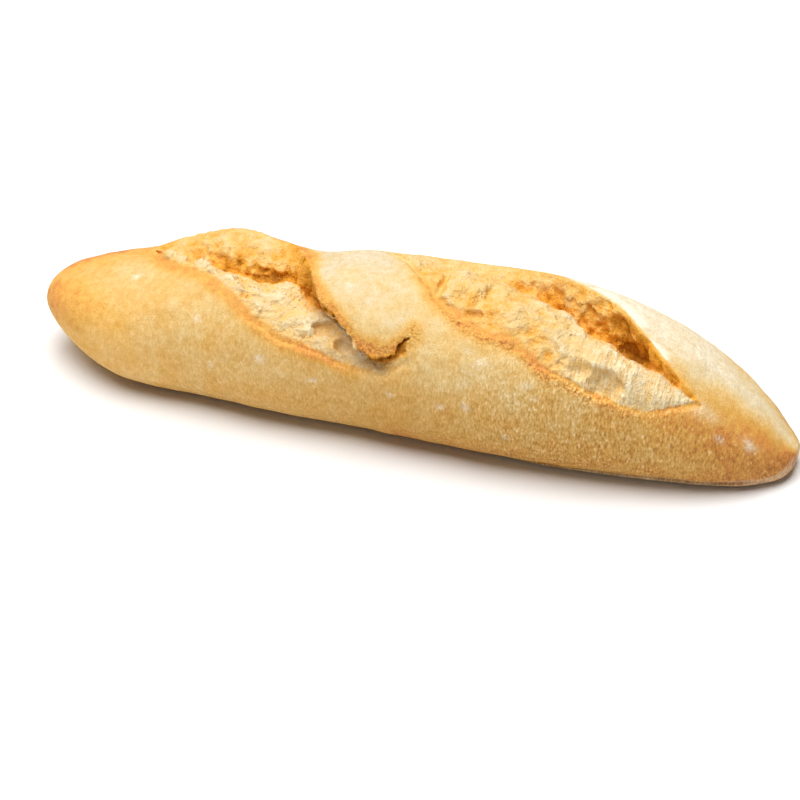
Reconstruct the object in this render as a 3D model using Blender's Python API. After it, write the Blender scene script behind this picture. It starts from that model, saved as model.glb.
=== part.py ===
"""A short rustic baguette, lying on its flat base, with two long slashes whose ears stand open.

The loaf is one closed solid, lofted through cross-sections along X. A point of a cross-section is
given by its angle from the ridge, in degrees (towards +Y positive), and by its offset from the
smooth skin. Sizes are in millimetres until the vertices are made, in metres.
"""

import math
from dataclasses import dataclass

import bmesh
import bpy

MM = 0.001

# Overall size: the tips, the widest place and the tallest place of the smooth skin.
LENGTH = 270.0
HALF_LENGTH = LENGTH / 2
TIP_ROUNDING = 2.6
# Half width and height along the loaf, before the rounding of the tips, by fraction of half length.
HALF_WIDTHS = ((-1.0, 36.0), (-0.8, 38.6), (-0.5, 32.0), (-0.1, 31.0), (0.3, 33.5), (0.7, 35.6), (1.0, 38.6))
HEIGHTS = ((-1.0, 42.0), (-0.8, 48.1), (-0.5, 55.4), (-0.29, 50.6), (-0.12, 54.8), (0.2, 55.4), (0.6, 55.4),
           (1.0, 40.0))

# The left tip curves up off the table, the right one is only rounded under, and the loaf bends a little.
LEFT_TIP_LIFT = 17.0
LEFT_LIFT_START = 0.6
RIGHT_TIP_LIFT = 6.5
RIGHT_LIFT_START = 0.95
BEND = 3.9

# Cross-section: a wide dome above the widest level, and a squarer foot that is cut flat below it.
WIDEST_LEVEL = 0.42
SIDE_ROUNDING = 2.15
CROWN_ROUNDING = 2.05
FOOT_ROUNDING = 3.0
FOOT_DEPTH = 1.06

# The lofted mesh: cross-sections along the loaf, and steps across each part of one.
SECTIONS = 98
TIP_CROWDING = 0.5
STEPS_NEAR_SIDE = 10
STEPS_BRIDGE = 6
STEPS_FAR_SIDE = 12
FLOOR_STEPS = (0.03, 0.15, 0.32, 0.54, 0.77, 1.0)
# Degrees kept between the edges of a slash, and between the two slashes, past their ends.
LEAST_OPENING = 9.0
LEAST_BRIDGE = 10.0

# A slash's floor drops from the lip by a step, then ever faster to its foot, where the wall starts.
LIP_STEP = 0.9
FLOOR_POWER = 1.35
# Where the foot lies between lip and ear once the slash has closed.
CLOSED_FOOT = 0.7
# The wall leans to these places and depths on its way from the foot to the ear's underside.
WALL_MIDDLE = 0.4
WALL_MIDDLE_DEPTH = 0.55
WALL_TOP = 0.85
EAR_THICKNESS = 2.2
# The distance over which a lifted ear sinks back to the smooth skin.
EAR_SLOPE = 17.0


@dataclass
class Slash:
    """A cut: its lip is the near edge, its ear the far edge that lifted, its foot the crease between.

    The edges are (x, angle) points, and depth and lift are (x, millimetres) points.
    """

    lip: tuple
    foot: tuple
    ear: tuple
    depth: tuple
    lift: tuple

    @property
    def end(self):
        return self.lip[-1][0]


LEFT_SLASH = Slash(
    lip=((-98, 12), (-87, -8), (-67, -29), (-55, -43), (-45, -54), (-21, -65), (-3, -73), (7, -62)),
    foot=((-98, 13), (-76, 10), (-66, -2), (-58, -4), (-45, 2), (-33, -18), (-20, -42), (-5, -58), (7, -52)),
    ear=((-98, 14), (-90, 29), (-75, 36), (-60, 34), (-48, 27), (-38, 6), (-27, -33), (-16, -52),
         (-5, -65), (2, -63), (7, -48)),
    depth=((-98, 0), (-86, 4), (-70, 8), (-50, 9.5), (-30, 9), (-5, 6.5), (7, 0)),
    lift=((-98, 0), (-84, 2.0), (-72, 2.8), (-55, 1.0), (-40, 0.3), (-10, 2.2), (7, 0)),
)
RIGHT_SLASH = Slash(
    lip=((-9, 21), (1, 3), (13, -19), (28, -35), (42, -40), (57, -54), (80, -63), (90, -60), (100, -46),
         (109, -39)),
    foot=((-9, 22), (20, 27), (42, 23), (57, 4), (74, -11), (90, -17), (109, -37)),
    ear=((-9, 23), (8, 36), (25, 38), (39, 33), (58, 14), (74, 0), (91, -23), (109, -38)),
    depth=((-9, 0), (4, 2), (24, 4), (44, 7.5), (70, 9), (90, 7), (109, 0)),
    lift=((-9, 0), (15, 0.5), (40, 1.4), (72, 2.4), (98, 1.8), (109, 0)),
)


def remove_everything():
    for existing in list(bpy.data.objects):
        bpy.data.objects.remove(existing)


def smooth_curve(points, at):
    """A smooth curve through the points that never swings past them, held level beyond its ends."""
    if at <= points[0][0]:
        return points[0][1]
    if at >= points[-1][0]:
        return points[-1][1]
    steps = [b[0] - a[0] for a, b in zip(points, points[1:])]
    slopes = [(b[1] - a[1]) / step for a, b, step in zip(points, points[1:], steps)]
    tangents = [slopes[0]]
    for before, after in zip(slopes, slopes[1:]):
        same_way = before * after > 0
        tangents.append(2 * before * after / (before + after) if same_way else 0.0)
    tangents.append(slopes[-1])
    index = next(i for i in range(len(steps)) if at <= points[i + 1][0])
    step = steps[index]
    t = (at - points[index][0]) / step
    rise = points[index + 1][1] - points[index][1]
    ease = t * t * (3 - 2 * t)
    leave = t * (1 - t) ** 2 * tangents[index] * step
    arrive = t * t * (t - 1) * tangents[index + 1] * step
    return points[index][1] + rise * ease + leave + arrive


def signed_power(value, power):
    return math.copysign(abs(value) ** power, value)


def skin_point(x, angle):
    """(y, z) of the smooth skin, the angle running from the ridge towards +Y."""
    s = x / HALF_LENGTH
    rounding = math.sqrt(max(0.0, 1 - abs(s) ** TIP_ROUNDING))
    half_width = rounding * smooth_curve(HALF_WIDTHS, s)
    height = rounding * smooth_curve(HEIGHTS, s)
    left = max(0.0, (-s - LEFT_LIFT_START) / (1 - LEFT_LIFT_START))
    right = max(0.0, (s - RIGHT_LIFT_START) / (1 - RIGHT_LIFT_START))
    base = LEFT_TIP_LIFT * left**2 + RIGHT_TIP_LIFT * (1 - math.sqrt(1 - right**2))
    side, up = math.sin(math.radians(angle)), math.cos(math.radians(angle))
    y = half_width * signed_power(side, 2 / SIDE_ROUNDING) + BEND * s * s
    if up > 0:
        return y, base + height * (WIDEST_LEVEL + (1 - WIDEST_LEVEL) * up ** (2 / CROWN_ROUNDING))
    foot = WIDEST_LEVEL * (1 - FOOT_DEPTH * (-up) ** (2 / FOOT_ROUNDING))
    return y, base + height * max(0.0, foot)


def offset_point(x, angle, offset):
    """A point moved out from the skin, square to it within its cross-section."""
    y, z = skin_point(x, angle)
    y_before, z_before = skin_point(x, angle - 1)
    y_after, z_after = skin_point(x, angle + 1)
    run, rise = y_after - y_before, z_after - z_before
    size = math.hypot(run, rise)
    if size == 0 or offset == 0:
        return x, y, z
    return x, y - rise / size * offset, max(0.0, z + run / size * offset)


def degrees_of(x, length):
    """The angle that this length takes up along the skin at this cross-section."""
    (y_side, z_side), (_, z_top) = skin_point(x, 90), skin_point(x, 0)
    radius = (y_side - skin_point(x, -90)[0] + 2 * (z_top - z_side)) / 4
    return math.degrees(length / max(radius, 1.0))


def slash_edges(x):
    """(lip, ear) angles of both slashes, kept in order where one of them has ended."""
    left_lip, left_ear = smooth_curve(LEFT_SLASH.lip, x), smooth_curve(LEFT_SLASH.ear, x)
    right_lip, right_ear = smooth_curve(RIGHT_SLASH.lip, x), smooth_curve(RIGHT_SLASH.ear, x)
    if x > LEFT_SLASH.end:
        left_ear = min(left_ear, right_lip - LEAST_BRIDGE)
    else:
        right_lip = max(right_lip, left_ear + LEAST_BRIDGE)
    left_lip = min(left_lip, left_ear - LEAST_OPENING)
    right_ear = max(right_ear, right_lip + LEAST_OPENING)
    return (left_lip, left_ear), (right_lip, right_ear)


def ear_lift(slash, x, ear, angle):
    """How far the skin beyond an ear stands up, dying away with distance from the ear's edge."""
    distance = (angle - ear) / degrees_of(x, EAR_SLOPE)
    return smooth_curve(slash.lift, x) * math.exp(-distance * distance)


def slash_points(slash, x, lip, ear):
    """(angle, offset) points from just past the lip, over the floor and up the wall to the ear."""
    depth = smooth_curve(slash.depth, x)
    lift = smooth_curve(slash.lift, x)
    fullness = min(1.0, depth / LIP_STEP / 2)
    closed_foot = lip + (ear - lip) * CLOSED_FOOT
    foot = closed_foot + (smooth_curve(slash.foot, x) - closed_foot) * fullness
    points = []
    for step in FLOOR_STEPS:
        fall = LIP_STEP * fullness * (1 - step) + depth * step**FLOOR_POWER
        points.append((lip + (foot - lip) * step, -fall))
    points.append((foot + (ear - foot) * WALL_MIDDLE, -depth * WALL_MIDDLE_DEPTH))
    points.append((foot + (ear - foot) * WALL_TOP, min(0.0, lift - EAR_THICKNESS * fullness)))
    return points


def cross_section(x):
    """The closed outline of the loaf at x, from the base's middle up the near side and over."""
    (left_lip, left_ear), (right_lip, right_ear) = slash_edges(x)
    outline = []

    def stretch(first, last, steps, slash, ear):
        for step in range(steps):
            angle = first + (last - first) * step / steps
            outline.append((angle, ear_lift(slash, x, ear, angle) if slash else 0.0))

    stretch(-180, left_lip, STEPS_NEAR_SIDE, None, None)
    outline.append((left_lip, 0.0))
    outline.extend(slash_points(LEFT_SLASH, x, left_lip, left_ear))
    stretch(left_ear, right_lip, STEPS_BRIDGE, LEFT_SLASH, left_ear)
    outline.append((right_lip, ear_lift(LEFT_SLASH, x, left_ear, right_lip)))
    outline.extend(slash_points(RIGHT_SLASH, x, right_lip, right_ear))
    stretch(right_ear, 180, STEPS_FAR_SIDE, RIGHT_SLASH, right_ear)
    return [offset_point(x, angle, offset) for angle, offset in outline]


def make_loaf():
    """Lofts the cross-sections, which stand closer together towards the tips, and closes both tips."""
    mesh = bmesh.new()
    rings = []
    for index in range(1, SECTIONS):
        even = 2 * index / SECTIONS - 1
        crowded = -math.cos(math.pi * index / SECTIONS)
        x = HALF_LENGTH * (even + (crowded - even) * TIP_CROWDING)
        rings.append([mesh.verts.new([c * MM for c in point]) for point in cross_section(x)])
    for ring, following in zip(rings, rings[1:]):
        for a, b, c, d in zip(ring, ring[1:] + ring[:1], following[1:] + following[:1], following):
            mesh.faces.new((a, b, c, d))
    for side, ring in ((-1, rings[0]), (1, rings[-1])):
        y, z = skin_point(side * HALF_LENGTH, 0)
        tip = mesh.verts.new((side * HALF_LENGTH * MM, y * MM, z * MM))
        for a, b in zip(ring, ring[1:] + ring[:1]):
            mesh.faces.new((a, b, tip))
    bmesh.ops.triangulate(mesh, faces=mesh.faces[:])
    bmesh.ops.recalc_face_normals(mesh, faces=mesh.faces[:])
    centre_on_origin(mesh)
    return mesh


def centre_on_origin(mesh):
    """Moves the loaf so that the middle of its box's underside is the origin."""
    shift = []
    for axis in (0, 1):
        places = [vertex.co[axis] for vertex in mesh.verts]
        shift.append(-(min(places) + max(places)) / 2)
    bmesh.ops.translate(mesh, verts=mesh.verts[:], vec=(*shift, 0.0))


def crust_material():
    material = bpy.data.materials.new("crust")
    material.use_nodes = True
    shader = material.node_tree.nodes["Principled BSDF"]
    shader.inputs["Base Color"].default_value = (0.78, 0.52, 0.24, 1.0)
    shader.inputs["Roughness"].default_value = 0.75
    shader.inputs["Metallic"].default_value = 0.0
    return material


def main():
    remove_everything()
    data = bpy.data.meshes.new("loaf")
    mesh = make_loaf()
    mesh.to_mesh(data)
    mesh.free()
    data.materials.append(crust_material())
    data.shade_smooth()
    bpy.context.scene.collection.objects.link(bpy.data.objects.new("loaf", data))


main()
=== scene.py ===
"""The looks of the baguette: its torn crumb, toasted edges, floury crust, studio light and camera.

The loaf is made anew as a field of distances on a grid: the solid's own smooth skin, its two slashes
with rounder lips and hollowed walls, a torn and porous crumb between lips and ears, and the low relief
of the crust. The field's surface becomes one closed mesh, which is thinned where it is smooth, and each
vertex gets the masks that the bread's material mixes its colours by.

A place on the loaf is given as x along it, an angle from the ridge (towards +Y positive) and an
offset from the smooth skin. The photograph's camera looks at the near side, towards -Y. Sizes are in
millimetres until the mesh is made, in metres.
"""

import math
from dataclasses import dataclass

import bmesh
import bpy
import numpy as np
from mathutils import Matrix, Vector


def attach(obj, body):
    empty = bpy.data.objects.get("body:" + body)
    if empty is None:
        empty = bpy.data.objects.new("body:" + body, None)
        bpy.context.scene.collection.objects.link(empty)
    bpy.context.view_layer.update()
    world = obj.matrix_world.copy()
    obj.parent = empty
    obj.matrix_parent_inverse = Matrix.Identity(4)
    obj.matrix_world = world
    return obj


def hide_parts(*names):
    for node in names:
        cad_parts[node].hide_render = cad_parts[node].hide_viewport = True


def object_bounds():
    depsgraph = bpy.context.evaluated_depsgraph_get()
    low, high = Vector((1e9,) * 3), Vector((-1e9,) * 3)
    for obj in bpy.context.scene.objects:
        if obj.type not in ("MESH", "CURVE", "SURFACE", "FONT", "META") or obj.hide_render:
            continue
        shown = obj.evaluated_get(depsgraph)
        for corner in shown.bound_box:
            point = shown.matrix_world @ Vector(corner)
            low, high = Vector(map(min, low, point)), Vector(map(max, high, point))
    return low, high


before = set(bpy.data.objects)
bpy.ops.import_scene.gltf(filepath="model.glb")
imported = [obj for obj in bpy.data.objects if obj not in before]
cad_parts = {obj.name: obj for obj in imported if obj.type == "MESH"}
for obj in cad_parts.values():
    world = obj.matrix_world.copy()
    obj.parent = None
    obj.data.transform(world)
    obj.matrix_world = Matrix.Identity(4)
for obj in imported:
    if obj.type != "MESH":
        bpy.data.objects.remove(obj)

import openvdb
from mathutils import Vector

CAD_LOW, CAD_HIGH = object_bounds()
NODE = "loaf"
SEED = 11

# The solid's own named sizes.
LENGTH = 270.0
HALF_LENGTH = LENGTH / 2
TIP_ROUNDING = 2.6
HALF_WIDTHS = ((-1.0, 36.0), (-0.8, 38.6), (-0.5, 32.0), (-0.1, 31.0), (0.3, 33.5), (0.7, 35.6), (1.0, 38.6))
HEIGHTS = ((-1.0, 42.0), (-0.8, 48.1), (-0.5, 55.4), (-0.29, 50.6), (-0.12, 54.8), (0.2, 55.4), (0.6, 55.4),
           (1.0, 40.0))
LEFT_TIP_LIFT = 17.0
LEFT_LIFT_START = 0.6
RIGHT_TIP_LIFT = 6.5
RIGHT_LIFT_START = 0.95
BEND = 3.9
WIDEST_LEVEL = 0.42
SIDE_ROUNDING = 2.15
CROWN_ROUNDING = 2.05
FOOT_ROUNDING = 3.0
FOOT_DEPTH = 1.06
LIP_STEP = 0.9
EAR_SLOPE = 17.0

MM = (CAD_HIGH.x - CAD_LOW.x) / LENGTH

# How far edges are rounded over. The lips get their rounding on top of that of all the slashes' edges.
EDGE_ROUNDING = 1.0
LIP_ROUNDING = 2.0
BUBBLE_ROUNDING = 1.8
BASE_ROUNDING = 1.2

# The grid of voxels, and the part of it that is worked out: from DEEPEST below the smooth skin to HIGHEST
# above it, where it lies among the slashes, all above LOWEST_LIP, and RELIEF_BAND about the surface
# elsewhere. VOLUME_BAND is how many voxels about the surface the mesh is drawn from.
VOXEL = 0.45
GRID_MARGIN = 4.0
DEEPEST = 13.0
HIGHEST = 4.5
RELIEF_BAND = 2.6
LOWEST_LIP = 22.0
SLASH_MARGIN = 5.0
VOLUME_BAND = 3.0
MOST_TRIANGLES = 190000
# How many places along the loaf a curve is worked out at.
CURVE_STEPS = 1500

# Distances that stand for out of reach.
FAR = 99.0
NOT_IN_SLASH = -20.0


@dataclass
class Slash:
    """A cut: its lip is the near edge, its ear the far edge that lifted, its foot the crease between.

    The edges are (x, angle) points. The floor's depth at the foot, the ear's lift and how far the crumb is
    hollowed out at the wall's foot, its cave, are (x, millimetres) points. The floor falls away as a power
    of the way to the foot, given as (x, power) points, and the cave reaches up this share of the wall.
    """

    lip: tuple
    foot: tuple
    ear: tuple
    depth: tuple
    lift: tuple
    power: tuple
    cave: tuple
    cave_height: float

    @property
    def start(self):
        return self.lip[0][0]

    @property
    def end(self):
        return self.lip[-1][0]


LEFT_SLASH = Slash(
    lip=((-98, 12), (-87, -8), (-67, -29), (-55, -43), (-45, -54), (-24, -67), (-13, -74), (0, -76),
         (7, -64)),
    foot=((-98, 13), (-76, 10), (-66, -2), (-58, -4), (-45, 2), (-33, -18), (-20, -42), (-5, -58), (7, -52)),
    ear=((-98, 14), (-90, 29), (-75, 36), (-60, 34), (-48, 27), (-38, 6), (-27, -32), (-19, -44),
         (-13, -54), (-10, -61), (-6, -63.5), (-1.5, -63.5), (3, -60), (7, -48)),
    depth=((-98, 0), (-86, 4), (-70, 8), (-50, 9.5), (-30, 9), (-5, 6.5), (7, 0)),
    lift=((-98, 0), (-84, 2.0), (-72, 2.8), (-55, 1.0), (-40, 0.3), (-10, 2.2), (7, 0)),
    power=((-98, 1.35), (-20, 1.35), (-10, 0.6), (6, 0.6), (7, 1.35)),
    cave=((-98, 0), (-90, 0.5), (-73, 2.2), (-66, 1.5), (-58, 2.2), (-48, 3.8), (-40, 1.5), (-24, 4.0),
          (-15, 4.0), (-6, 3.0), (7, 1.5)),
    cave_height=0.27,
)
RIGHT_SLASH = Slash(
    lip=((-9, 21), (1, 3), (13, -19), (28, -34), (42, -39), (57, -53), (80, -62), (87, -63),
         (92, -57.5), (98, -47), (103, -38.5)),
    foot=((-9, 22), (20, 27), (42, 23), (57, 4), (74, -11), (84, -20), (92, -29.5), (98, -35),
          (103, -38)),
    ear=((-9, 23), (8, 36), (25, 38), (39, 33), (58, 14), (74, -1), (85, -15.5), (92, -24), (98, -30),
         (103, -35.5)),
    depth=((-9, 0), (4, 2), (24, 4), (44, 7.5), (70, 9.5), (80, 9.5), (85, 7), (89, 3.4), (93, 2.4),
           (98, 1.8), (103, 0)),
    lift=((-9, 0), (15, 0.5), (40, 1.4), (72, 2.4), (86, 1.6), (97, 0.9), (103, 0)),
    power=((-9, 1.35), (20, 1.5), (40, 2.0), (66, 2.8), (80, 3.6), (90, 1.8), (103, 1.35)),
    cave=((-9, 0), (28, 0.5), (38, 1.5), (50, 1.2), (62, 1.5), (70, 2.0), (79, 3.5), (85, 1.5), (88, 0.4),
          (103, 0)),
    cave_height=0.6,
)
SLASHES = (LEFT_SLASH, RIGHT_SLASH)


def curve_values(points, at):
    """A smooth curve through the points that never swings past them, held level beyond its ends."""
    places, values = np.array(points, float).T
    steps = np.diff(places)
    slopes = np.diff(values) / steps
    before, after = slopes[:-1], slopes[1:]
    same_way = before * after > 0
    middle = np.where(same_way, 2 * before * after / np.where(same_way, before + after, 1.0), 0.0)
    tangents = np.concatenate([slopes[:1], middle, slopes[-1:]])
    at = np.clip(at, places[0], places[-1])
    index = np.clip(np.searchsorted(places, at, side="left") - 1, 0, len(steps) - 1)
    step = steps[index]
    t = (at - places[index]) / step
    rise = values[index + 1] - values[index]
    leave = t * (1 - t) ** 2 * tangents[index] * step
    arrive = t * t * (t - 1) * tangents[index + 1] * step
    return values[index] + rise * t * t * (3 - 2 * t) + leave + arrive


def smooth_curve(points, at):
    """The same curve, read off a fine table, which is quicker at many places."""
    table = np.linspace(points[0][0], points[-1][0], CURVE_STEPS)
    return np.interp(at, table, curve_values(points, table))


def smooth_step(low, high, value):
    t = np.clip((value - low) / (high - low), 0.0, 1.0)
    return t * t * (3 - 2 * t)


def between(value, rise, fall):
    """1 between two ranges, rising from 0 over the first and falling back to it over the second."""
    return smooth_step(*rise, value) * (1 - smooth_step(*fall, value))


def smooth_max(a, b, width):
    """The larger of a and b, with the crease between them rounded over this width."""
    overlap = np.clip(1 - np.abs(a - b) / width, 0.0, 1.0)
    return np.maximum(a, b) + overlap * overlap * width / 4


class Noise:
    """Smooth random values between -1 and 1 that change over about one unit."""

    SIZE = 32

    def __init__(self, seed):
        self.values = np.random.default_rng(SEED + seed).uniform(-1, 1, self.SIZE**3).astype(np.float32)

    def __call__(self, x, y, z):
        cells, weights = [], []
        for coordinate in (x, y, z):
            cell = np.floor(coordinate)
            t = (coordinate - cell).astype(np.float32)
            cell = cell.astype(np.int64)
            cells.append((cell % self.SIZE, (cell + 1) % self.SIZE))
            weights.append(t * t * (3 - 2 * t))
        total = 0.0
        for i in (0, 1):
            weight_x = weights[0] if i else 1 - weights[0]
            for j in (0, 1):
                weight_y = weights[1] if j else 1 - weights[1]
                row = (cells[0][i] * self.SIZE + cells[1][j]) * self.SIZE
                near = self.values[row + cells[2][0]]
                far = self.values[row + cells[2][1]]
                total = total + weight_x * weight_y * (near + (far - near) * weights[2])
        return total


def waves(noise, height, size, place, shift=(0, 0, 0)):
    """Noise this high whose features have this size, in millimetres along each coordinate of the place."""
    return height * noise(*(at / wide + further for at, wide, further in zip(place, size, shift)))


class Cells:
    """Round cells scattered one to a unit cube: how far the nearest cell's middle is, at most LARGEST."""

    SIZE = 16
    LARGEST = 0.8

    def __init__(self, seed):
        random = np.random.default_rng(SEED + seed)
        self.middles = random.uniform(0.05, 0.95, (self.SIZE**3, 3)).astype(np.float32)

    def __call__(self, x, y, z):
        place = np.stack([x, y, z], 1)
        cell = np.floor(place)
        inside = (place - cell).astype(np.float32)
        cell = cell.astype(np.int64)
        nearest = np.full(len(place), 9.0, np.float32)
        for step in np.ndindex(3, 3, 3):
            shift = np.array(step) - 1
            i, j, k = ((cell + shift) % self.SIZE).T
            middle = self.middles[(i * self.SIZE + j) * self.SIZE + k] + shift.astype(np.float32)
            nearest = np.minimum(nearest, ((middle - inside) ** 2).sum(1))
        return np.minimum(np.sqrt(nearest), self.LARGEST)


def skin_sizes(x):
    """(half width, height, level of the underside, sideways bend) of the loaf at x."""
    s = np.clip(x / HALF_LENGTH, -1.0, 1.0)
    rounding = np.sqrt(np.maximum(1 - np.abs(s) ** TIP_ROUNDING, 1e-4))
    half_width = rounding * smooth_curve(HALF_WIDTHS, s)
    height = rounding * smooth_curve(HEIGHTS, s)
    left = np.maximum(0.0, (-s - LEFT_LIFT_START) / (1 - LEFT_LIFT_START))
    right = np.maximum(0.0, (s - RIGHT_LIFT_START) / (1 - RIGHT_LIFT_START))
    base = LEFT_TIP_LIFT * left**2 + RIGHT_TIP_LIFT * (1 - np.sqrt(1 - right**2))
    return half_width, height, base, BEND * s * s


def sideways_shift():
    """How far the solid was moved in Y to stand over its origin."""
    x = np.linspace(-HALF_LENGTH, HALF_LENGTH, 400)
    half_width, _, _, bend = skin_sizes(x)
    middle = ((bend + half_width).max() + (bend - half_width).min()) / 2
    return (CAD_HIGH.y + CAD_LOW.y) / 2 / MM - middle


SHIFT = sideways_shift()


def skin_place(x, y, z):
    """(angle, offset, level of the underside, millimetres to a degree) of points."""
    half_width, height, base, bend = skin_sizes(x)
    level = base + WIDEST_LEVEL * height
    side = (y - SHIFT - bend) / half_width
    upper = z > level
    reach = np.where(upper, (1 - WIDEST_LEVEL) * height, WIDEST_LEVEL * FOOT_DEPTH * height)
    up = (z - level) / reach
    rounding = np.where(upper, CROWN_ROUNDING, FOOT_ROUNDING)
    side_term = np.abs(side) ** SIDE_ROUNDING
    up_term = np.abs(up) ** rounding
    angle = np.degrees(np.arctan2(np.sign(side) * np.sqrt(side_term), np.sign(up) * np.sqrt(up_term)))
    total = side_term + up_term + 1e-9
    radius = np.sqrt(total)
    # The size of the radius's gradient, in the cross-section and along the loaf.
    across = SIDE_ROUNDING * side_term / np.maximum(np.abs(side), 1e-3) / half_width
    upward = rounding * up_term / np.maximum(np.abs(up), 1e-3) / reach
    slope = np.sqrt(across**2 + upward**2) / (2 * radius)
    offset = (radius - 1) / np.maximum(slope, 1e-3)
    return angle, offset, base, np.radians((half_width + (1 - WIDEST_LEVEL) * height) / 2)


def slash_void(slash, x, angle, offset, scale):
    """How deep places lie in the open space of a slash, where across it they are, and how far past its lip.

    Across is 0 at the lip, 1 at the foot and 2 at the ear. The rest is in millimetres.
    """
    lip, foot, ear = (smooth_curve(edge, x) for edge in (slash.lip, slash.foot, slash.ear))
    depth, lift = smooth_curve(slash.depth, x), smooth_curve(slash.lift, x)
    # Where the slash is shallower than two lip steps, the step shrinks with it.
    fullness = np.minimum(1.0, depth / LIP_STEP / 2)
    floor_way = np.clip((angle - lip) / np.maximum(foot - lip, 1.0), 0.0, 1.0)
    floor = -(LIP_STEP * fullness * (1 - floor_way) + depth * floor_way ** smooth_curve(slash.power, x))
    rise = np.clip((offset + depth) / np.maximum(depth + lift, 0.5), 0.0, 1.0)
    cave = smooth_curve(slash.cave, x) * np.maximum(1 - (rise / slash.cave_height) ** 2, 0.0)
    wall = foot + (ear - foot) * rise + cave / scale
    past_lip = (angle - lip) * scale
    before_wall = (wall - angle) * scale
    inside = np.minimum(np.minimum(offset - floor, past_lip), before_wall)
    ends = np.minimum(x - slash.start, slash.end - x)
    at_wall = floor_way > 0.98
    across = floor_way + rise * at_wall
    return np.minimum(inside, ends), across, past_lip


def ear_lift(x, angle, scale):
    """How far the skin beyond the ears stands up, dying away with distance from each ear's edge."""
    total = 0.0
    for slash in SLASHES:
        ear = smooth_curve(slash.ear, x)
        beyond = (angle - ear) * scale / EAR_SLOPE
        before = smooth_step(-0.35, 0.0, beyond)
        total = total + smooth_curve(slash.lift, x) * np.exp(-np.maximum(beyond, 0.0) ** 2) * before
    return total


class Grid:
    """The block of voxels round the loaf, with its signed distances, negative inside the bread."""

    def __init__(self):
        low = np.array(CAD_LOW) / MM - GRID_MARGIN
        high = np.array(CAD_HIGH) / MM + GRID_MARGIN
        self.low = low
        self.axes = [np.arange(a, b, VOXEL, dtype=np.float32) for a, b in zip(low, high)]
        self.shape = tuple(len(axis) for axis in self.axes)
        self.skin = self.smooth_skin()
        underside = skin_sizes(self.axes[0])[2].astype(np.float32)[:, None, None]
        self.field = np.maximum(self.skin, underside - self.axes[2])

    def points(self, index):
        """Coordinates of the voxels with these flat numbers."""
        places = np.unravel_index(index, self.shape)
        return [axis[place] for axis, place in zip(self.axes, places)]

    def smooth_skin(self):
        """Distances from the smooth skin, without the flat base, roughly in millimetres."""
        x, y, z = np.ix_(*self.axes)
        half_width, height, base, bend = (size.astype(np.float32) for size in skin_sizes(x))
        s = np.abs(x) / HALF_LENGTH
        level = base + WIDEST_LEVEL * height
        squash = np.maximum(1 - np.minimum(s, 1) ** TIP_ROUNDING, 1e-4).astype(np.float32)
        side = np.abs((y - SHIFT.astype(np.float32) - bend) / half_width) ** SIDE_ROUNDING
        crown = np.maximum((z - level) / ((1 - WIDEST_LEVEL) * height), 0) ** CROWN_ROUNDING
        foot = np.maximum((level - z) / (WIDEST_LEVEL * FOOT_DEPTH * height), 0) ** FOOT_ROUNDING
        radius = np.sqrt(squash * (side + (crown + foot)) + (s**TIP_ROUNDING).astype(np.float32))
        slope = sum(np.gradient(radius, VOXEL, axis=axis) ** 2 for axis in range(3))
        return (radius - 1) / np.sqrt(np.maximum(slope, 1e-5))


# Bubbles torn open in the crumb: (x, angle, offset) of the middle, and half sizes along x, across, deep.
BUBBLES = (
    # The pocket over the right ear's cave, and the hollows near the lip.
    ((72, -3, -2.0), (3.8, 3.0, 3.0)),
    ((73.5, -51, -0.7), (5.6, 5.0, 3.6)),
    ((65, -45, -0.6), (3.4, 3.2, 2.4)),
    ((54, -36, -0.6), (2.4, 3.0, 2.0)),
    ((46, -27, -0.9), (1.8, 2.0, 1.5)),
    # The pits and the crease among the lumps at the right slash's left end.
    ((26, -24, -1.6), (2.4, 1.7, 1.8)),
    ((28, -1, -2.4), (1.5, 3.4, 2.0)),
    ((12, -5, -1.2), (1.0, 6.5, 1.8)),
    ((3, 3, -0.8), (1.8, 2.4, 1.4)),
    # Dark pits along the right slash's wall.
    ((36, 18, -4.5), (3.0, 1.8, 1.8)),
    ((49, 7, -4.0), (3.2, 2.2, 2.0)),
    ((60, 2, -4.0), (3.0, 2.0, 2.0)),
    # Pockets in the left slash, and the grey ones under the bridge.
    ((-82, 15, -2.0), (2.6, 1.8, 1.6)),
    ((-71, -6, -6.4), (2.4, 2.2, 2.2)),
    ((-23, -50, -4.6), (4.4, 3.4, 3.6)),
    ((-15, -61, -4.0), (3.4, 3.0, 3.4)),
)
# Lumps of crumb that stand out: (x, angle) of the middle, half sizes along x and across, and height.
LUMPS = (
    ((19, -8), (2.6, 3.0), 1.1),
    ((24, -13), (1.5, 5.0), 1.3),
    ((33, -19), (2.8, 2.0), 0.9),
    ((40, -16), (2.4, 2.2), 0.8),
    ((-40, -8), (4.0, 7.0), 1.6),
    ((-27, -38), (3.0, 3.0), 0.9),
    ((-19, -59), (1.4, 4.0), 1.2),
    ((-63, 14), (5.0, 3.5), 1.3),
    ((-74, 12), (3.0, 3.0), 1.0),
    ((69, -38), (4.0, 3.0), 0.8),
)

broad_noise = Noise(1)
lump_noise = Noise(2)
grit_noise = Noise(3)
strand_noise = Noise(4)
edge_noise = Noise(5)
crater_cells = Cells(6)
pore_cells = Cells(7)

# Edges wander in slow waves with finer teeth on them, these many millimetres long.
EDGE_WAVE = 5.0
EDGE_TOOTH = 1.7


def skin_noise(height, size, x, arc, layer):
    """Noise over the skin, where each layer is another pattern."""
    return height * edge_noise(x / size, arc / size, layer)


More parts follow.
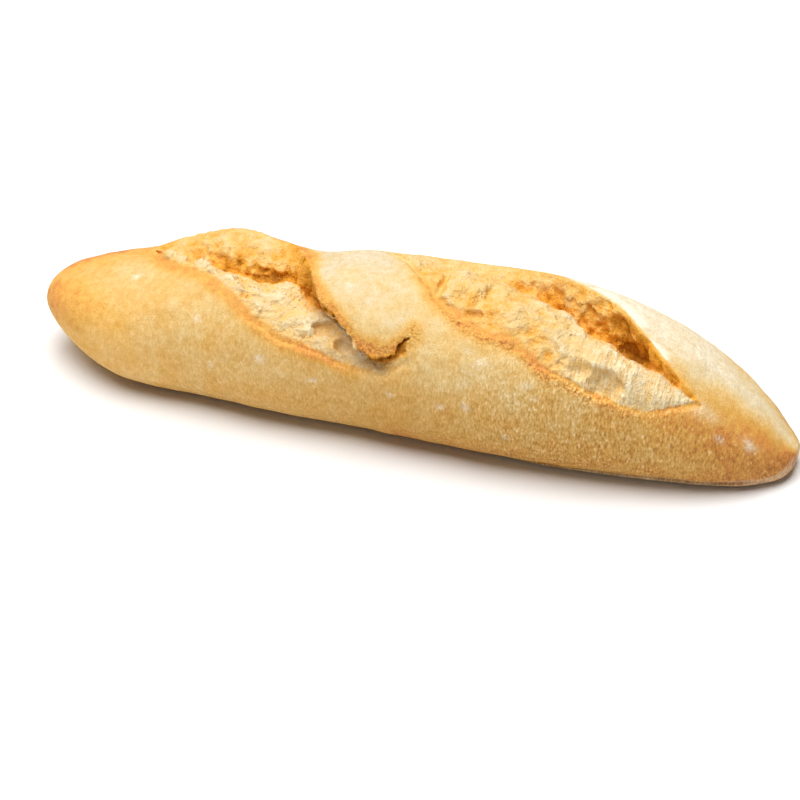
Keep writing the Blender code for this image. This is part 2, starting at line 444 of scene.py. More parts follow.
def jitter(x, angle, scale):
    """Places shifted a little in x and angle, so that torn edges wander, most at the bumpy lip."""
    arc = angle * scale
    shift = skin_noise(0.8, EDGE_WAVE, x, arc, 0.5) + skin_noise(0.4, EDGE_TOOTH, x, arc, 3.5)
    turn = skin_noise(0.8, EDGE_WAVE, x, arc, 7.5) + skin_noise(0.45, EDGE_TOOTH, x, arc, 11.5)
    ragged = 1 + 1.5 * between(x, (2, 14), (56, 68)) * (1 - smooth_step(-12, 10, angle))
    return x + shift * ragged, angle + turn * ragged / scale


class Places:
    """Points of space, with where they lie on the loaf and in its slashes.

    Skin is their distance from the smooth skin where it is known more exactly than as the offset. Outer is
    the distance from the crust without its slashes, and void the depth in the nearer slash's open space.
    Left says that this slash is the left one, and crumb, from 0 to 1, that the surface there is torn bread.
    """

    REACH = 8.0

    def __init__(self, x, y, z, skin=None):
        self.x, self.y, self.z = x, y, z
        self.angle, self.offset, self.base, self.scale = skin_place(x, y, z)
        skin = self.offset if skin is None else skin
        self.arc = self.angle * self.scale
        self.outer = smooth_max(skin - ear_lift(x, self.angle, self.scale), self.base - z, BASE_ROUNDING)
        self.void = np.full(len(x), NOT_IN_SLASH)
        self.across = np.zeros(len(x))
        self.past_lip = np.full(len(x), -FAR)
        self.left = np.zeros(len(x), bool)
        along = (x > LEFT_SLASH.start - self.REACH) & (x < RIGHT_SLASH.end + self.REACH)
        upper = np.nonzero(along & (np.abs(self.angle) < 90))[0]
        scale = self.scale[upper]
        shifted = jitter(x[upper], self.angle[upper], scale)
        for slash in SLASHES:
            here, way, past_lip = slash_void(slash, *shifted, self.offset[upper], scale)
            deeper = here > self.void[upper]
            self.across[upper] = np.where(deeper, way, self.across[upper])
            self.past_lip[upper] = np.where(deeper, past_lip, self.past_lip[upper])
            self.left[upper] = np.where(deeper, slash is LEFT_SLASH, self.left[upper])
            self.void[upper] = np.maximum(self.void[upper], here)
        self.crumb = smooth_step(-0.7, 0.5, self.void - self.outer)

    @property
    def on_skin(self):
        """Coordinates that follow the skin, all in millimetres."""
        return self.x, self.arc, self.offset

    def pick(self, chosen):
        """Some of the places."""
        picked = object.__new__(Places)
        for name, values in vars(self).items():
            setattr(picked, name, values[chosen])
        return picked


def bubbles_void(places):
    """How deep places lie inside the torn bubbles, roughly in millimetres."""
    wobble = waves(lump_noise, 0.7, (2.8, 2.8, 2.8), places.on_skin)
    deepest = np.full(len(places.x), -FAR)
    for (at, turn, level), (along, across, deep) in BUBBLES:
        side = (places.angle - turn) * places.scale / across
        away = ((places.x - at) / along) ** 2 + side**2 + ((places.offset - level) / deep) ** 2
        deepest = np.maximum(deepest, (1 - np.sqrt(away)) * min(along, across, deep))
    return deepest + wobble


def lumps_height(places):
    """How high the single lumps stand."""
    total = 0.0
    for (at, turn), (along, across), height in LUMPS:
        away = ((places.x - at) / along) ** 2 + ((places.angle - turn) * places.scale / across) ** 2
        total = total + height * np.exp(-away)
    return total


def by_slash(tables, places):
    """The value of the left or the right slash's table at each place, whichever slash is nearer."""
    left, right = (smooth_curve(table, places.x) for table in tables)
    return np.where(places.left, left, right)


def on_wall(places):
    """1 on the slashes' walls and 0 on their floors."""
    return smooth_step(0.9, 1.1, places.across)


# How wide the smooth rim inside each slash's lip is, as (x, millimetres).
RIMS = (((-98, 2.0), (-60, 3.0), (-34, 2.2), (-24, 1.0), (-5, 0.8), (7, 0.5)),
        ((-9, 0.6), (16, 2.4), (48, 2.6), (60, 0.8), (109, 0.5)))


def torn_share(places):
    """Where the crumb is torn rough: all but the rim just inside the lips."""
    return smooth_step(0.6, 1.3, places.past_lip / by_slash(RIMS, places))


def crumb_relief(places):
    """How far the torn crumb stands out from its smooth floor and wall.

    The floor is foam, all craters and pores, drawn out into strands under the right ear. The wall is
    nodules. All of it is lower at the rims, at the ears and in the right slash's bumpy left half.
    """
    x = places.x
    skin = places.on_skin
    wall = on_wall(places)
    at_ear = smooth_step(1.5, 1.9, places.across)
    bumpy = between(x, (-9, 5), (40, 55))
    stretched = smooth_step(54, 66, x) * (1 - wall)
    by_foot = smooth_step(0.6, 0.9, places.across) * (1 - wall) * (1 - 0.6 * bumpy)
    rough = (0.1 + 0.9 * torn_share(places)) * (1 - (0.5 + 0.3 * smooth_step(66, 78, x)) * at_ear)
    rough = rough * (1 - 0.35 * bumpy)
    craters = waves(crater_cells, 1.0, (3.4, 3.8, 3.4), skin)
    pores = waves(pore_cells, 1.0, (1.35, 1.5, 1.3), skin)
    lumps = waves(lump_noise, 1.4, (8, 9, 8), skin) + waves(lump_noise, 0.8, (3.6, 4.4, 3.6), skin, (0, 0, 9))
    grit = waves(grit_noise, 0.16, (0.8, 0.9, 0.8), skin)
    foam = (1.5 * (craters - 0.5) + 1.05 * (pores - 0.5)) * (1 + 0.15 * (x < -20))
    nodules = 2.2 * (0.45 - craters) + 1.0 * (0.45 - pores)
    nodules = nodules + waves(lump_noise, 1.3, (1.9, 3.6, 3.6), skin, (0, 0, 4))
    strands = waves(strand_noise, 0.28, (1.1, 14, 5), skin)
    strands = strands + waves(strand_noise, 0.2, (0.7, 10, 4), skin, (0, 7, 0))
    fine = foam * (1 - wall) * (1 - 0.75 * stretched) + nodules * wall + strands * stretched + grit
    return (lumps * (1 - 0.5 * stretched + 0.8 * by_foot) + fine) * rough + lumps_height(places)


def edge_distances(slash, places):
    """Millimetres over the skin from the lip and from the ear, out of reach beyond the slash's other edge."""
    before = (smooth_curve(slash.lip, places.x) - places.angle) * places.scale
    beyond = (places.angle - smooth_curve(slash.ear, places.x)) * places.scale
    ends = np.maximum(np.maximum(slash.start - places.x, places.x - slash.end), 0.0)
    from_lip = np.where(beyond > 0, FAR, np.hypot(before, ends))
    from_ear = np.where(before > 0, FAR, np.hypot(beyond, ends))
    return from_lip, from_ear


def grain_band(places):
    """Where the crust is torn to grains: along the left slash's ear and the right slash's lip."""
    _, ear = edge_distances(LEFT_SLASH, places)
    tongue = smooth_step(-18, -8, places.x)
    at_ear = (0.6 + 0.4 * tongue) * (1 - smooth_step(1.5, 3.0 + 3.0 * tongue, ear))
    lip, _ = edge_distances(RIGHT_SLASH, places)
    return np.maximum(at_ear, between(places.x, (4, 24), (80, 96)) * (1 - smooth_step(2.0, 6.5, lip)))


def ledge_relief(places):
    """The low ledge along the near side's foot, with the groove above it."""
    x = places.x
    height = places.z - places.base
    top = 3.6 + 0.9 * broad_noise(x / 11, 0.5, 0.5)
    ledge = 0.9 * (1 - smooth_step(top - 0.5, top + 0.2, height))
    groove = 0.5 * np.exp(-(((height - top - 0.4) / 0.6) ** 2))
    near_side = between(x, (20, 60), (118, 130)) * (places.y < 0)
    return near_side * (ledge - groove) * smooth_step(0.2, 1.0, height)


def crust_relief(places):
    """The low waves, faint blisters and torn grains of the crust, and the ledge along its foot."""
    place = (places.x, places.y, places.z)
    relief = waves(broad_noise, 0.4, (17, 14, 14), place)
    relief = relief + waves(broad_noise, 0.24, (7, 6, 6), place, (0, 0, 5))
    relief = relief + waves(lump_noise, 0.07, (2.2, 2.0, 2.0), place)
    relief = relief + waves(grit_noise, 0.035, (1.0, 1.6, 1.6), place)
    grains = grain_band(places)
    # Cells take long to work out, so they are left out where there are no grains.
    torn = np.nonzero(grains > 0.01)[0]
    pores = waves(pore_cells, 1.0, (1.1, 1.1, 1.1), [coordinate[torn] for coordinate in place])
    grains[torn] *= 0.9 * (0.45 - pores)
    return (relief + grains) * smooth_step(1.0, 6.0, places.z - places.base) + ledge_relief(places)


def loaf_field(grid):
    """Fills the grid with the loaf: its skin, lifted ears, slashes, relief and bubbles."""
    field = grid.field.ravel()
    index = np.nonzero((field > -DEEPEST) & (field < HIGHEST))[0]
    x, y, z = grid.points(index)
    first, last = LEFT_SLASH.start - SLASH_MARGIN, RIGHT_SLASH.end + SLASH_MARGIN
    slashed = (x > first) & (x < last) & (z > LOWEST_LIP)
    wanted = slashed | (np.abs(field[index]) < RELIEF_BAND)
    index = index[wanted]
    places = Places(x[wanted], y[wanted], z[wanted], grid.skin.ravel()[index])
    by_lip = 1 - smooth_step(0.1, 0.4, places.across)
    field[index] = smooth_max(places.outer, places.void, EDGE_ROUNDING + LIP_ROUNDING * by_lip)
    near = np.nonzero(np.abs(field[index]) < RELIEF_BAND)[0]
    index = index[near]
    places = places.pick(near)
    relief = crust_relief(places) * (1 - places.crumb)
    cut = np.nonzero(places.crumb > 0)[0]
    torn = places.pick(cut)
    relief[cut] += torn.crumb * crumb_relief(torn)
    field[index] -= relief
    field[index[cut]] = smooth_max(field[index[cut]], bubbles_void(torn), BUBBLE_ROUNDING)


def surface_of(grid):
    """Vertices, in millimetres, and quads of the field's zero surface."""
    volume = openvdb.FloatGrid(VOLUME_BAND)
    volume.copyFromArray(np.clip(grid.field / VOXEL, -VOLUME_BAND, VOLUME_BAND), tolerance=0.0)
    points, _, quads = volume.convertToPolygons(0.0, 0.0)
    return points * VOXEL + grid.low, quads


def mesh_object(name, points, faces):
    """A new mesh object, from points in millimetres and faces that all have as many sides."""
    data = bpy.data.meshes.new(name)
    sides = faces.shape[1]
    data.vertices.add(len(points))
    data.loops.add(faces.size)
    data.polygons.add(len(faces))
    data.vertices.foreach_set("co", (points * MM).astype(np.float32).ravel())
    data.loops.foreach_set("vertex_index", faces.astype(np.int32).ravel())
    data.polygons.foreach_set("loop_start", np.arange(0, faces.size, sides, dtype=np.int32))
    data.update(calc_edges=True)
    piece = bpy.data.objects.new(name, data)
    bpy.context.scene.collection.objects.link(piece)
    return piece


def thin(piece):
    """Thins the mesh to its limit, mostly where it is smooth."""
    triangles = len(piece.data.polygons) * 2
    if triangles <= MOST_TRIANGLES:
        return
    decimate = piece.modifiers.new("thin", "DECIMATE")
    decimate.ratio = MOST_TRIANGLES / triangles
    graph = bpy.context.evaluated_depsgraph_get()
    thinned = bpy.data.meshes.new_from_object(piece.evaluated_get(graph))
    piece.modifiers.clear()
    piece.data = thinned


def drop_loose_bits(piece):
    """Removes the specks that the relief cut loose, leaving the one shell."""
    shell = bmesh.new()
    shell.from_mesh(piece.data)
    shell.verts.ensure_lookup_table()
    waiting = [min(shell.verts, key=lambda vertex: vertex.co.x)]
    reached = set(waiting)
    while waiting:
        vertex = waiting.pop()
        for edge in vertex.link_edges:
            other = edge.other_vert(vertex)
            if other not in reached:
                reached.add(other)
                waiting.append(other)
    loose = [vertex for vertex in shell.verts if vertex not in reached]
    bmesh.ops.delete(shell, geom=loose, context="VERTS")
    shell.to_mesh(piece.data)
    shell.free()


# The crust at (x, angle): how far it is baked, from 0 for floury white to 1 for brown, and how light it is
# for that. The lightness is partly the crust's own tone and partly painted light and shade: painted lighter
# on the middle of the near side and darker low down on it.
CRUST_SPOTS = (
    # The near side and the top, from left to right.
    ((-132, 20), 0.93, 1.12), ((-127, -50), 0.92, 1.14), ((-105, -9), 0.38, 0.91), ((-94, -49), 0.42, 1.03),
    ((-77, -84), 0.50, 1.08), ((-47, -77), 0.46, 1.02), ((-36, -95), 0.55, 0.88), ((-24, 1), 0.21, 0.86),
    ((-9, -29), 0.31, 0.90), ((15, -54), 0.34, 1.03), ((31, -72), 0.42, 1.03), ((24, -100), 0.72, 0.77),
    ((75, -81), 0.43, 0.93), ((75, -102), 0.74, 0.78), ((78, 10), 0.06, 0.94), ((96, 6), 0.12, 1.0),
    ((100, -34), 0.36, 1.06), ((103, -71), 0.68, 0.96), ((112, 6), 0.20, 1.19), ((117, -54), 0.94, 0.99),
    ((119, -82), 0.82, 0.87), ((127, -38), 0.97, 1.06),
    # The far side and the underside, which the photograph doesn't show.
    ((-60, 60), 0.30, 0.9), ((0, 60), 0.22, 0.9), ((80, 60), 0.15, 1.0), ((-60, 105), 0.50, 0.9),
    ((0, 105), 0.45, 0.9), ((80, 105), 0.50, 0.9), ((-60, 150), 0.60, 0.9), ((60, 150), 0.60, 0.9),
    ((-60, -140), 0.60, 0.85), ((60, -140), 0.60, 0.85), ((131, 40), 0.70, 1.0), ((129, 90), 0.75, 0.95),
)
# How far a spot reaches, in millimetres along the loaf and degrees round it, and the bake of toasted crust.
SPOT_REACH = 22.0
SPOT_TURN = 19.0
TOASTED = 0.73

# Toast along the edges: (x, strength) by the lip and by the ear of each slash, and (x, millimetres) for how
# wide it spreads.
LIP_TOAST = (((-98, 0.6), (-88, 1.3), (-30, 1.3), (-12, 0.8), (-4, 0.2), (7, 0.0)),
             ((-9, 0.3), (8, 0.8), (22, 1.2), (50, 1.0), (60, 0.7), (84, 0.4), (94, 0.2), (101, 0.0)))
LIP_SPREAD = (((-98, 4.0), (-60, 3.8), (-20, 2.8)),
              ((-9, 4.5), (20, 5.4), (45, 4.6), (62, 3.4), (104, 3.4)))
EAR_TOAST = (((-98, 0.6), (-60, 0.9), (-45, 1.2), (-20, 1.2), (-5, 1.0), (3, 1.0), (7, 0.8)),
             ((-9, 0.3), (15, 1.0), (40, 1.0), (60, 0.8), (94, 0.9), (104, 0.2)))
EAR_SPREAD = (((-98, 3.0), (-55, 3.4), (-45, 9.0), (-32, 7.0), (-20, 4.5), (-5, 6.0)),
              ((-9, 3.0), (40, 3.0), (68, 1.2), (104, 1.1)))

# How far the crumb is baked on each slash's floor, on its wall, and in the cave under it, as (x, bake).
# The caves' dark brown is partly painted shade, and so is the deeper orange of the right slash's wall towards
# its end, which lies in shade.
FLOOR_BAKE = (((-98, 0.5), (-84, 0.42), (-65, 0.32), (-50, 0.3), (-34, 0.34), (-26, 0.26), (-12, 0.32),
               (7, 0.5)),
              ((-9, 0.46), (30, 0.51), (50, 0.42), (64, 0.32), (109, 0.25)))
WALL_BAKE_AND_SHADE = (((-98, 0.62), (-60, 0.5), (-46, 0.7), (-35, 0.75), (7, 0.75)),
             ((-9, 0.45), (20, 0.54), (40, 0.58), (62, 0.64), (75, 0.74), (88, 0.82), (109, 0.8)))
CAVE_BAKE_AND_SHADE = (((-98, 0.5), (-70, 0.66), (-47, 0.92), (-38, 0.7), (-20, 0.85), (-8, 1.0), (7, 1.0)),
             ((-9, 0.4), (20, 0.5), (38, 0.74), (65, 0.78), (74, 0.86), (79, 0.9), (86, 0.84), (109, 0.8)))

# How much more the crumb is baked: per millimetre that it lies below the floor or the wall round it, on a
# lump, in a torn bubble and by the lip. In the hollows below the floor and the wall and in the bubbles this
# is painted shade, darker and warmer, not more baking.
FLOOR_HOLLOW_SHADE = 0.15
WALL_HOLLOW_SHADE = 0.10
LUMP_BAKE = 0.25
BUBBLE_SHADE = 0.14
LIP_BAKE = 0.2


def crust_spots(places):
    """(bake, lightness) of the crust without its toasted edges, the lightness with its painted light and
    shade.
    """
    bakes, lights, weights = 0.0, 0.0, 1e-9
    for (x, angle), bake, light in CRUST_SPOTS:
        away = ((places.x - x) / SPOT_REACH) ** 2 + ((places.angle - angle) / SPOT_TURN) ** 2
        weight = np.exp(-away / 2)
        bakes = bakes + weight * bake
        lights = lights + weight * light
        weights = weights + weight
    return bakes / weights, lights / weights


def edge_toast(places):
    """How much the crust is toasted by the lips and ears, from 0 to 1, in uneven patches."""
    patches = 0.95 + skin_noise(0.35, 4, places.x, places.arc, 20.5)
    unevenness = 1 + skin_noise(0.4, 6, places.x, places.arc, 30.5)
    toasted = 0.0
    for number, slash in enumerate(SLASHES):
        lip, ear = edge_distances(slash, places)
        for distance, toast, spread in ((lip, LIP_TOAST, LIP_SPREAD), (ear, EAR_TOAST, EAR_SPREAD)):
            reach = smooth_curve(spread[number], places.x) * unevenness
            strength = smooth_curve(toast[number], places.x) * patches
            toasted = np.maximum(toasted, strength * np.exp(-((distance / reach) ** 3)))
    return np.clip(toasted, 0, 1)


def crumb_bake(places):
    """How far the crumb is baked: little on the floor, more on the wall, most in caves and hollows, partly as
    painted shade.
    """
    x, left = places.x, places.left
    floor, wall, cave = (by_slash(bakes, places) for bakes in (FLOOR_BAKE, WALL_BAKE_AND_SHADE, CAVE_BAKE_AND_SHADE))
    # Painted shadow: under the left slash's tongue, the cave's dark brown reaches far out over the floor.
    tongue = smooth_step(-12, -6, x) * left
    climb = smooth_step(0.88 - 0.6 * tongue, 1.0 - 0.4 * tongue, places.across)
    out_of_cave = smooth_step(1.1, 1.45, places.across)
    # Painted shade: the crumb is darker and warmer in its hollows and torn bubbles.
    below = -np.clip(crumb_relief(places), -1.5, 1.5)
    hollows = below * (FLOOR_HOLLOW_SHADE + (WALL_HOLLOW_SHADE - FLOOR_HOLLOW_SHADE) * climb)
    lumps = LUMP_BAKE * np.minimum(lumps_height(places), 1.0)
    bubbles = BUBBLE_SHADE * smooth_step(-0.9, 0.2, bubbles_void(places))
    by_lip = LIP_BAKE * np.exp(-np.maximum(places.past_lip, 0.0) / 3.0) * (1 - smooth_step(56, 68, x))
    by_lip = by_lip * (1 - 0.7 * smooth_step(-32, -24, x) * left)
    return floor + (cave + (wall - cave) * out_of_cave - floor) * climb + hollows + lumps + bubbles + by_lip


def crumb_light(places):
    """How light the crumb is for its bake: a little more so in its strands, and painted light on the shaded
    wall at the right end.
    """
    painted_light_on_end_wall = smooth_step(80, 88, places.x) * on_wall(places) * (places.past_lip > 0)
    return 1.0 + 0.05 * smooth_step(54, 66, places.x) + 0.25 * painted_light_on_end_wall


# Thick flecks of flour, as (x, angle) and how many millimetres across, and how long they are for their width.
FLECKS = (
    ((-96, -20), 1.6), ((-68, -58), 1.4), ((-62, -88), 1.2), ((-44, -74), 1.8), ((-25, -85), 1.5),
    ((-17, -22), 1.7), ((3, -86), 1.3), ((20, -88), 1.7), ((28, -50), 1.3), ((29, -84), 1.5),
    ((33, -54), 1.9), ((43, -96), 1.3), ((49, -63), 1.5), ((52, -70), 1.2), ((64, 12), 1.6),
    ((73, 20), 2.4), ((112, -60), 1.6), ((121, -52), 2.4),
)
FLECK_STRETCH = 1.3
FLECK_THICKNESS = 0.75


def flour_flecks(places):
    """How much flour lies in the single, ragged flecks."""
    ragged = waves(grit_noise, 0.55, (0.9, 0.9, 1.0), (places.x, places.arc, 50.5))
    thickness = 0.0
    for (x, angle), size in FLECKS:
        away = np.hypot((places.x - x) / FLECK_STRETCH, (places.angle - angle) * places.scale) / size + ragged
        thickness = np.maximum(thickness, FLECK_THICKNESS * np.exp(-(away**2)))
    return thickness


def flour_by_ear(places):
    """How much flour lies in the patches along the right slash's ear."""
    _, ear = edge_distances(RIGHT_SLASH, places)
    patches = 0.8 + waves(edge_noise, 1.9, (5, 3.5, 1.0), (places.x, places.arc, 40.5))
    return between(places.x, (52, 62), (88, 96)) * between(ear, (0.5, 1.8), (4.0, 7.0)) * patches


def flour_at_foot(places):
    """How much flour lies on the ledge along the near side's foot."""
    top = 3.2 + 2.4 * smooth_step(55, 90, places.x) + 0.6 * broad_noise(places.x / 9, 0.5, 2.5)
    below = 1 - smooth_step(top - 1.0, top + 0.6, places.z - places.base)
    return 0.55 * below * (places.y < 0) * smooth_step(20, 50, places.x)


def flour_cover(places):
    """How much flour lies on the crust: most on the top at the right, some on the bridge and on grains."""
    x, angle = places.x, places.angle
    top = 0.5 * smooth_step(50, 76, x) * (1 - 0.5 * smooth_step(96, 118, x))
    top = top * between(angle, (-34, 4), (70, 100))
    bridge = 0.25 * between(x, (-42, -26), (-10, 16)) * smooth_step(-60, 10, angle)
    grains = 0.3 * grain_band(places)
    past_end = 0.6 * np.exp(-(((x - 105) / 7) ** 2) - ((angle + 42) / 9) ** 2)
    by_places = (flour_by_ear(places), flour_at_foot(places), flour_flecks(places))
    return np.maximum.reduce([top, bridge, grains, past_end, *by_places])


# How strongly the crust's fine streaks and grains show, as (x, strength).
ROUGHNESS = ((-125, 0.15), (-95, 0.25), (-55, 0.45), (-10, 0.42), (22, 0.6), (45, 1.0), (60, 1.1), (100, 1.0),
             (130, 0.7))


def crust_roughness(places):
    """How strongly the crust's fine streaks and grains show, most low on the near side."""
    return smooth_curve(ROUGHNESS, places.x) * (1 - 0.7 * smooth_step(-75, -35, places.angle))


def paint(piece):
    """Gives each vertex the masks that the material mixes its colours by."""
    data = piece.data
    points = np.empty(len(data.vertices) * 3, np.float32)
    data.vertices.foreach_get("co", points)
    x, y, z = points.reshape(-1, 3).T.astype(float) / MM
    places = Places(x, y, z)
    # The surface is crumb where it lies in a slash's void, or well below the skin.
    in_void = smooth_step(-0.9, 0.1, places.void - places.outer)
    places.crumb = np.maximum(in_void, smooth_step(1.0, 1.6, -places.outer))
    bake, light = crust_spots(places)
    toast = edge_toast(places)
    masks = {
        "crumb": places.crumb * torn_share(places),
        "crust_bake": bake + (TOASTED - bake) * toast,
        "crumb_bake": crumb_bake(places),
        # light carries painted light and shade: the crust spots' lightness, and painted light on the right
        # end's wall.
        "light": light + (crumb_light(places) - light) * np.maximum(places.crumb, toast),
        "flour": flour_cover(places) * (1 - places.crumb) * (1 - toast),
        "rough": crust_roughness(places),
        "grains": grain_band(places) * (1 - places.crumb),
        "stretched": places.crumb * smooth_step(52, 66, x) * (1 - on_wall(places)),
    }
    for name, values in masks.items():
        layer = data.attributes.new(name, "FLOAT", "POINT")
        layer.data.foreach_set("value", values.astype(np.float32))


class Shading:
    """Makes and joins the nodes of one material."""

    def __init__(self, name):
        self.material = bpy.data.materials.new(name)
        self.material.use_nodes = True
        self.tree = self.material.node_tree
        self.shader = self.tree.nodes["Principled BSDF"]

    def node(self, kind, *values, **settings):
        """A new node with these settings, and with these values or sockets fed to its first inputs."""
        node = self.tree.nodes.new("ShaderNode" + kind)
        for name, value in settings.items():
            setattr(node, name, value)
        for socket, value in zip(node.inputs, values):
            self.feed(socket, value)
        return node

    def feed(self, socket, value):
        if isinstance(value, bpy.types.NodeSocket):
            self.tree.links.new(value, socket)
        else:
            socket.default_value = value

    def mask(self, name):
        """One of the masks that paint gives each vertex."""
        return self.node("Attribute", attribute_name=name).outputs["Fac"]

    def place(self, stretch=(1, 1, 1)):
        """Places on the piece in millimetres, with each axis scaled by stretch."""
        spot = self.node("TexCoord").outputs["Object"]
        scale = tuple(s / MM for s in stretch)
        return self.node("VectorMath", spot, scale, operation="MULTIPLY").outputs["Vector"]

    def math(self, operation, *values, clamp=False):
        return self.node("Math", *values, operation=operation, use_clamp=clamp).outputs[0]

    def add(self, start, *layers):
        """A value with textures added to it, each times its amount."""
        for texture, amount in layers:
            start = self.math("MULTIPLY_ADD", texture, amount, start)
        return start

    def around(self, start, *layers):
        """The same for noise, which lies about 0.5."""
        return self.add(start, *((self.math("SUBTRACT", noise, 0.5), amount) for noise, amount in layers))

    def noise(self, size, detail=3.0, stretch=(1, 1, 1)):
        """Smooth noise, about 0.5, whose features are this many millimetres across."""
        node = self.node("TexNoise", self.place(stretch))
        node.inputs["Scale"].default_value = 1 / size
        node.inputs["Detail"].default_value = detail
        return node.outputs["Fac"]

    def spots(self, size):
        """Distance from the nearest of points scattered this many millimetres apart, in their own size."""
        node = self.node("TexVoronoi", self.place())
        node.inputs["Scale"].default_value = 1 / size
        return node.outputs["Distance"]

    def smooth_step(self, low, high, value):
        return self.node("MapRange", value, low, high, interpolation_type="SMOOTHSTEP").outputs["Result"]

    def ramp(self, value, stops):
        """The colour at this value, by stops of (value, colour)."""
        node = self.node("ValToRGB", value)
        elements = node.color_ramp.elements
        while len(elements) < len(stops):
            elements.new(0.5)
        for element, (at, color) in zip(elements, stops):
            element.position = at
            element.color = (*color, 1.0)
        return node.outputs["Color"]

    def mix(self, amount, first, second):
        node = self.node("Mix", data_type="RGBA")
        self.feed(node.inputs["Factor"], amount)
        self.feed(node.inputs["A"], first)
        self.feed(node.inputs["B"], second)
        return node.outputs["Result"]


# The colours that bread goes through as it bakes, as (bake, colour).
CRUST_COLORS = (
    (0.0, (0.88, 0.79, 0.62)), (0.2, (0.78, 0.62, 0.38)), (0.35, (0.79, 0.56, 0.24)),
    (0.5, (0.78, 0.47, 0.145)), (0.65, (0.75, 0.40, 0.08)), (0.8, (0.71, 0.285, 0.057)),
    (1.0, (0.40, 0.13, 0.025)),
)
CRUMB_COLORS = (
    (0.0, (0.84, 0.73, 0.50)), (0.25, (0.74, 0.56, 0.30)), (0.5, (0.79, 0.50, 0.17)),
    (0.75, (0.78, 0.36, 0.045)), (0.88, (0.66, 0.27, 0.012)), (1.0, (0.37, 0.13, 0.0)),
)
FLOUR_COLOR = (0.96, 0.86, 0.66, 1.0)


class BreadShading(Shading):
    """Crust that goes from floury cream to toasted orange, torn crumb in the slashes, and flour."""

    def __init__(self):
        super().__init__("bread")
        self.grain = self.noise(0.5, detail=2.0)
        self.mottle = self.noise(2.4)
        self.streaks = self.noise(0.65, detail=4.0, stretch=(1.0, 0.45, 0.45))
        self.pores = self.spots(0.9)
        drawn_out = self.noise(0.55, detail=2.0, stretch=(1.0, 0.12, 0.12))
        # These lie about 0, and only where their mask is painted.
        self.rough_streaks = self.under("rough", self.math("SUBTRACT", self.streaks, 0.5))
        self.strands = self.under("stretched", self.math("SUBTRACT", drawn_out, 0.5))
        self.torn_grains = self.under("grains", self.math("SUBTRACT", 0.4, self.pores))

    def under(self, mask, texture):
        return self.math("MULTIPLY", texture, self.mask(mask))

    def crust_color(self):
        """The crust's colour, where what is lighter is also less baked."""
        clouds = self.noise(10.0)
        bake = self.around(self.mask("crust_bake"), (clouds, 0.4), (self.mottle, -0.3), (self.grain, -0.2))
        bake = self.add(bake, (self.rough_streaks, -0.8), (self.torn_grains, -0.3))
        return self.ramp(bake, CRUST_COLORS)

    def crumb_color(self):
        clouds = self.noise(5.0)
        bake = self.around(self.mask("crumb_bake"), (clouds, 0.5), (self.mottle, -0.4), (self.grain, -0.35))
        return self.ramp(self.add(bake, (self.strands, -0.6)), CRUMB_COLORS)

    def flour(self):
        """How much flour lies here: clouds and specks where it is painted, and pale grains on rough crust."""
        clouds = self.noise(4.0, detail=5.0)
        specks = self.smooth_step(0.62, 0.72, self.noise(0.7, detail=4.0, stretch=(1.0, 0.6, 0.6)))
        dusting = self.around(self.mask("flour"), (clouds, 0.9), (self.grain, 0.5))
        dusting = self.under("flour", self.add(dusting, (specks, 0.35)))
        pale_grains = self.under("rough", self.smooth_step(0.6, 0.72, self.streaks))
        return self.math("MULTIPLY_ADD", pale_grains, 0.35, dusting, clamp=True)

    def lightness(self):
        # The vertices' lightness, painted light and shade among it, with the textures' own lighter and darker
        # spots.
        light = self.around(self.mask("light"), (self.grain, 0.3), (self.mottle, 0.25))
        return self.add(light, (self.rough_streaks, 1.0), (self.torn_grains, 0.35), (self.strands, 0.4))

    def normal(self, flour):
        """The fine relief that the mesh is too coarse for: pits in the crumb, streaks, grains and flour."""
        pits = self.under("crumb", self.pores)
        height = self.add(0.0, (self.rough_streaks, 1.2), (pits, 0.8), (self.strands, 1.2), (flour, 0.3))
        height = self.around(self.add(height, (self.torn_grains, 1.0)), (self.grain, 0.8))
        bump = self.node("Bump")
        self.feed(bump.inputs["Strength"], 0.8)
        self.feed(bump.inputs["Distance"], 0.4 * MM)
        self.feed(bump.inputs["Height"], height)
        return bump.outputs["Normal"]


def bread_material():
    s = BreadShading()
    flour = s.flour()
    color = s.mix(flour, s.mix(s.mask("crumb"), s.crust_color(), s.crumb_color()), FLOUR_COLOR)
    shaded = s.node("VectorMath", color, operation="SCALE")
    s.feed(shaded.inputs["Scale"], s.lightness())
    s.feed(s.shader.inputs["Base Color"], shaded.outputs["Vector"])
    s.feed(s.shader.inputs["Roughness"], 0.7)
    s.feed(s.shader.inputs["Specular IOR Level"], 0.3)
    s.feed(s.shader.inputs["Normal"], s.normal(flour))
    return s.material


def make_loaf():
    grid = Grid()
    loaf_field(grid)
    points, quads = surface_of(grid)
    loaf = mesh_object("bread", points, quads)
    thin(loaf)
    drop_loose_bits(loaf)
    paint(loaf)
    loaf.data.shade_smooth()
    loaf.data.materials.append(bread_material())
    return loaf


def floor_material():
    s = Shading("floor")
    s.feed(s.shader.inputs["Base Color"], (0.9, 0.9, 0.9, 1.0))
    s.feed(s.shader.inputs["Roughness"], 0.9)
    return s.material


def make_floor():
    bpy.ops.mesh.primitive_plane_add(size=4.0)
    floor = bpy.context.object
    floor.name = "floor"
    floor.data.materials.append(floor_material())


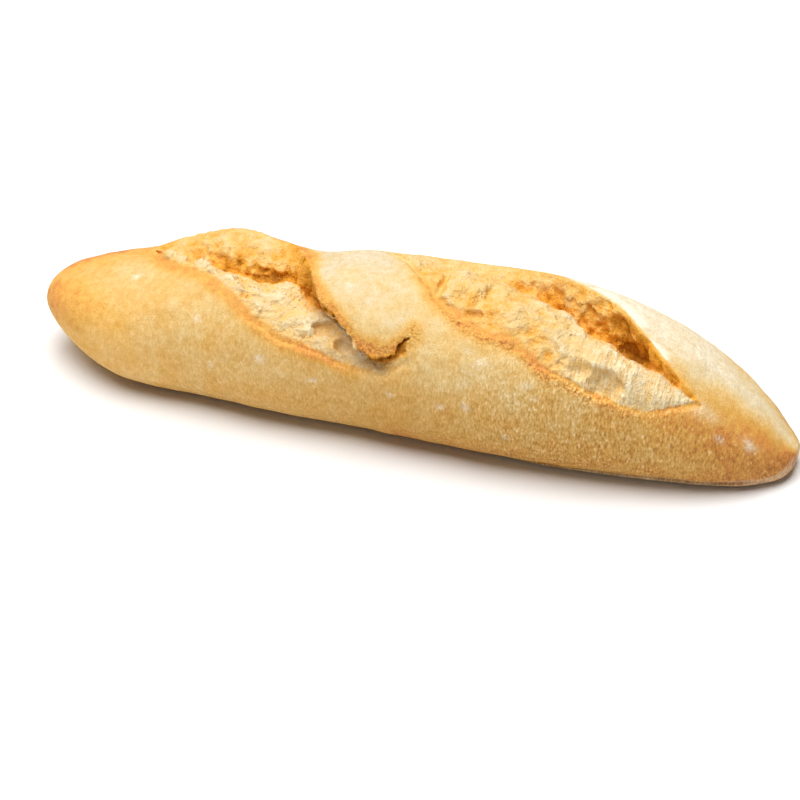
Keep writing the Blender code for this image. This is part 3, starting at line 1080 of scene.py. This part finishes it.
def area_light(name, place, size, power):
    """A rectangular light that faces the loaf."""
    data = bpy.data.lights.new(name, "AREA")
    data.shape = "RECTANGLE"
    data.size, data.size_y = size
    data.energy = power
    light = bpy.data.objects.new(name, data)
    bpy.context.scene.collection.objects.link(light)
    light.location = place
    light.rotation_euler = (-Vector(place)).to_track_quat("-Z", "Y").to_euler()


def make_lights():
    """A wide light above, a faint one in front and a nearly dark world."""
    world = bpy.data.worlds.new("studio")
    bpy.context.scene.world = world
    world.use_nodes = True
    background = world.node_tree.nodes["Background"]
    background.inputs["Color"].default_value = (1, 1, 1, 1)
    background.inputs["Strength"].default_value = 0.03
    area_light("key", place=(-0.2, 0.04, 1.5), size=(2.0, 1.4), power=45)
    area_light("fill", place=(0.3, -1.3, 0.8), size=(0.8, 0.8), power=1.5)


# The camera stands round TARGET at these angles, in degrees, and at this distance, in metres. It aims
# beside it, by metres to the right and up in the picture. LENS is in millimetres.
AZIMUTH = 17.8
ELEVATION = 33.0
DISTANCE = 1.1
LENS = 145.4
TARGET = Vector((0.0, 0.00088, 0.025))
AIM_RIGHT = -0.0040
AIM_UP = -0.0192


def make_camera():
    data = bpy.data.cameras.new("camera")
    data.lens = LENS
    data.sensor_width = 36.0
    data.clip_start, data.clip_end = 0.05, 20.0
    camera = bpy.data.objects.new("camera", data)
    bpy.context.scene.collection.objects.link(camera)
    turn, rise = math.radians(AZIMUTH), math.radians(ELEVATION)
    back = Vector((math.sin(turn) * math.cos(rise), -math.cos(turn) * math.cos(rise), math.sin(rise)))
    right = Vector((math.cos(turn), math.sin(turn), 0.0))
    up = back.cross(right)
    camera.location = TARGET + back * DISTANCE
    aim = TARGET + right * AIM_RIGHT + up * AIM_UP
    camera.rotation_euler = (aim - camera.location).to_track_quat("-Z", "Y").to_euler()
    bpy.context.scene.camera = camera


def main():
    loaf = make_loaf()
    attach(loaf, "root")
    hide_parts(NODE)
    make_floor()
    make_lights()
    make_camera()
    bpy.context.scene.view_settings.view_transform = "Standard"


main()
